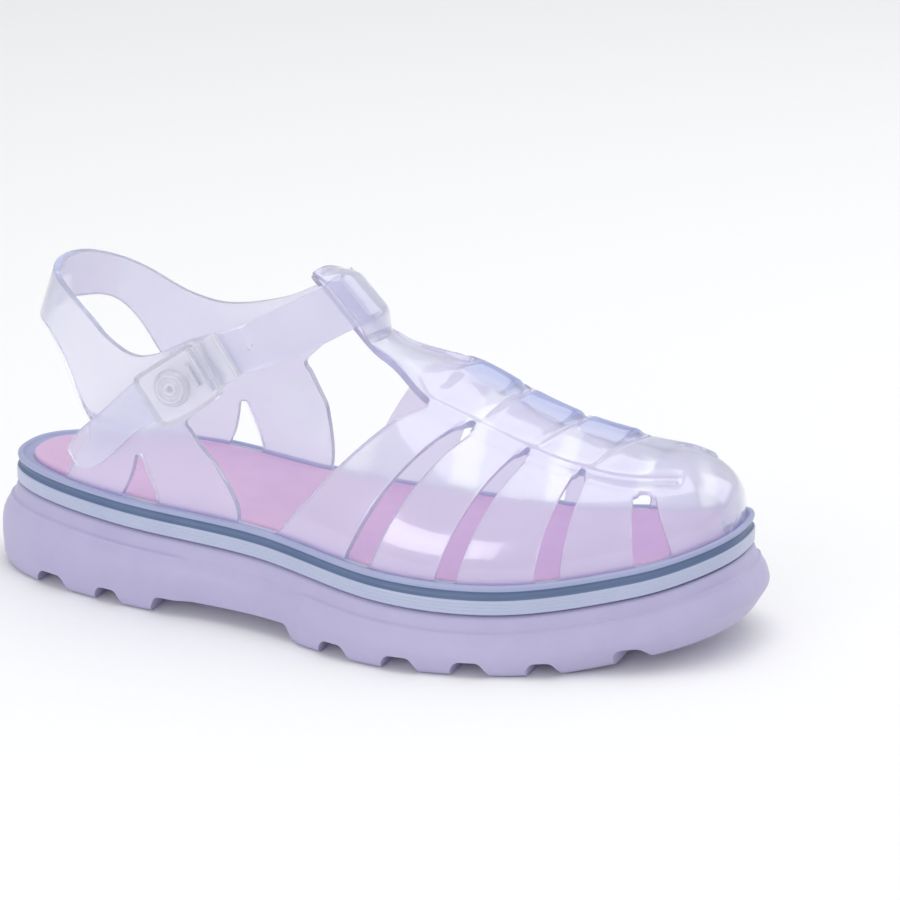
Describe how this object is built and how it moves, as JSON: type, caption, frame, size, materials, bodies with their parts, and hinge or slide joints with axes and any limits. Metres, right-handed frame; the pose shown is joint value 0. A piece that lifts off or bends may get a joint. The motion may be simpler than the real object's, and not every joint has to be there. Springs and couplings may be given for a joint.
{
  "type": "sandal",
  "caption": "Child's clear jelly sandal for the right foot: closed toe, woven spine with cross straps, open heel, and an ankle strap run through a T-bar loop to a buckle, on a lugged sole",
  "frame": {"origin": "On the floor, under the middle of the shoe's length and of the sole's breadth", "axes": "Toe to +X, heel to -X, lateral side with the buckle to -Y, medial side to +Y, up +Z"},
  "size_m": [0.1924, 0.0784, 0.083],
  "materials": {
    "outsole": "satin",
    "welt": "satin",
    "insole": "matte",
    "upper": "gloss",
    "buckle": "gloss"
  },
  "bodies": {
    "root": {"outsole": "outsole", "welt": "welt", "insole": "insole", "upper": "upper", "buckle_frame": "buckle", "buckle_stud": "buckle"}
  },
  "joints": []
}
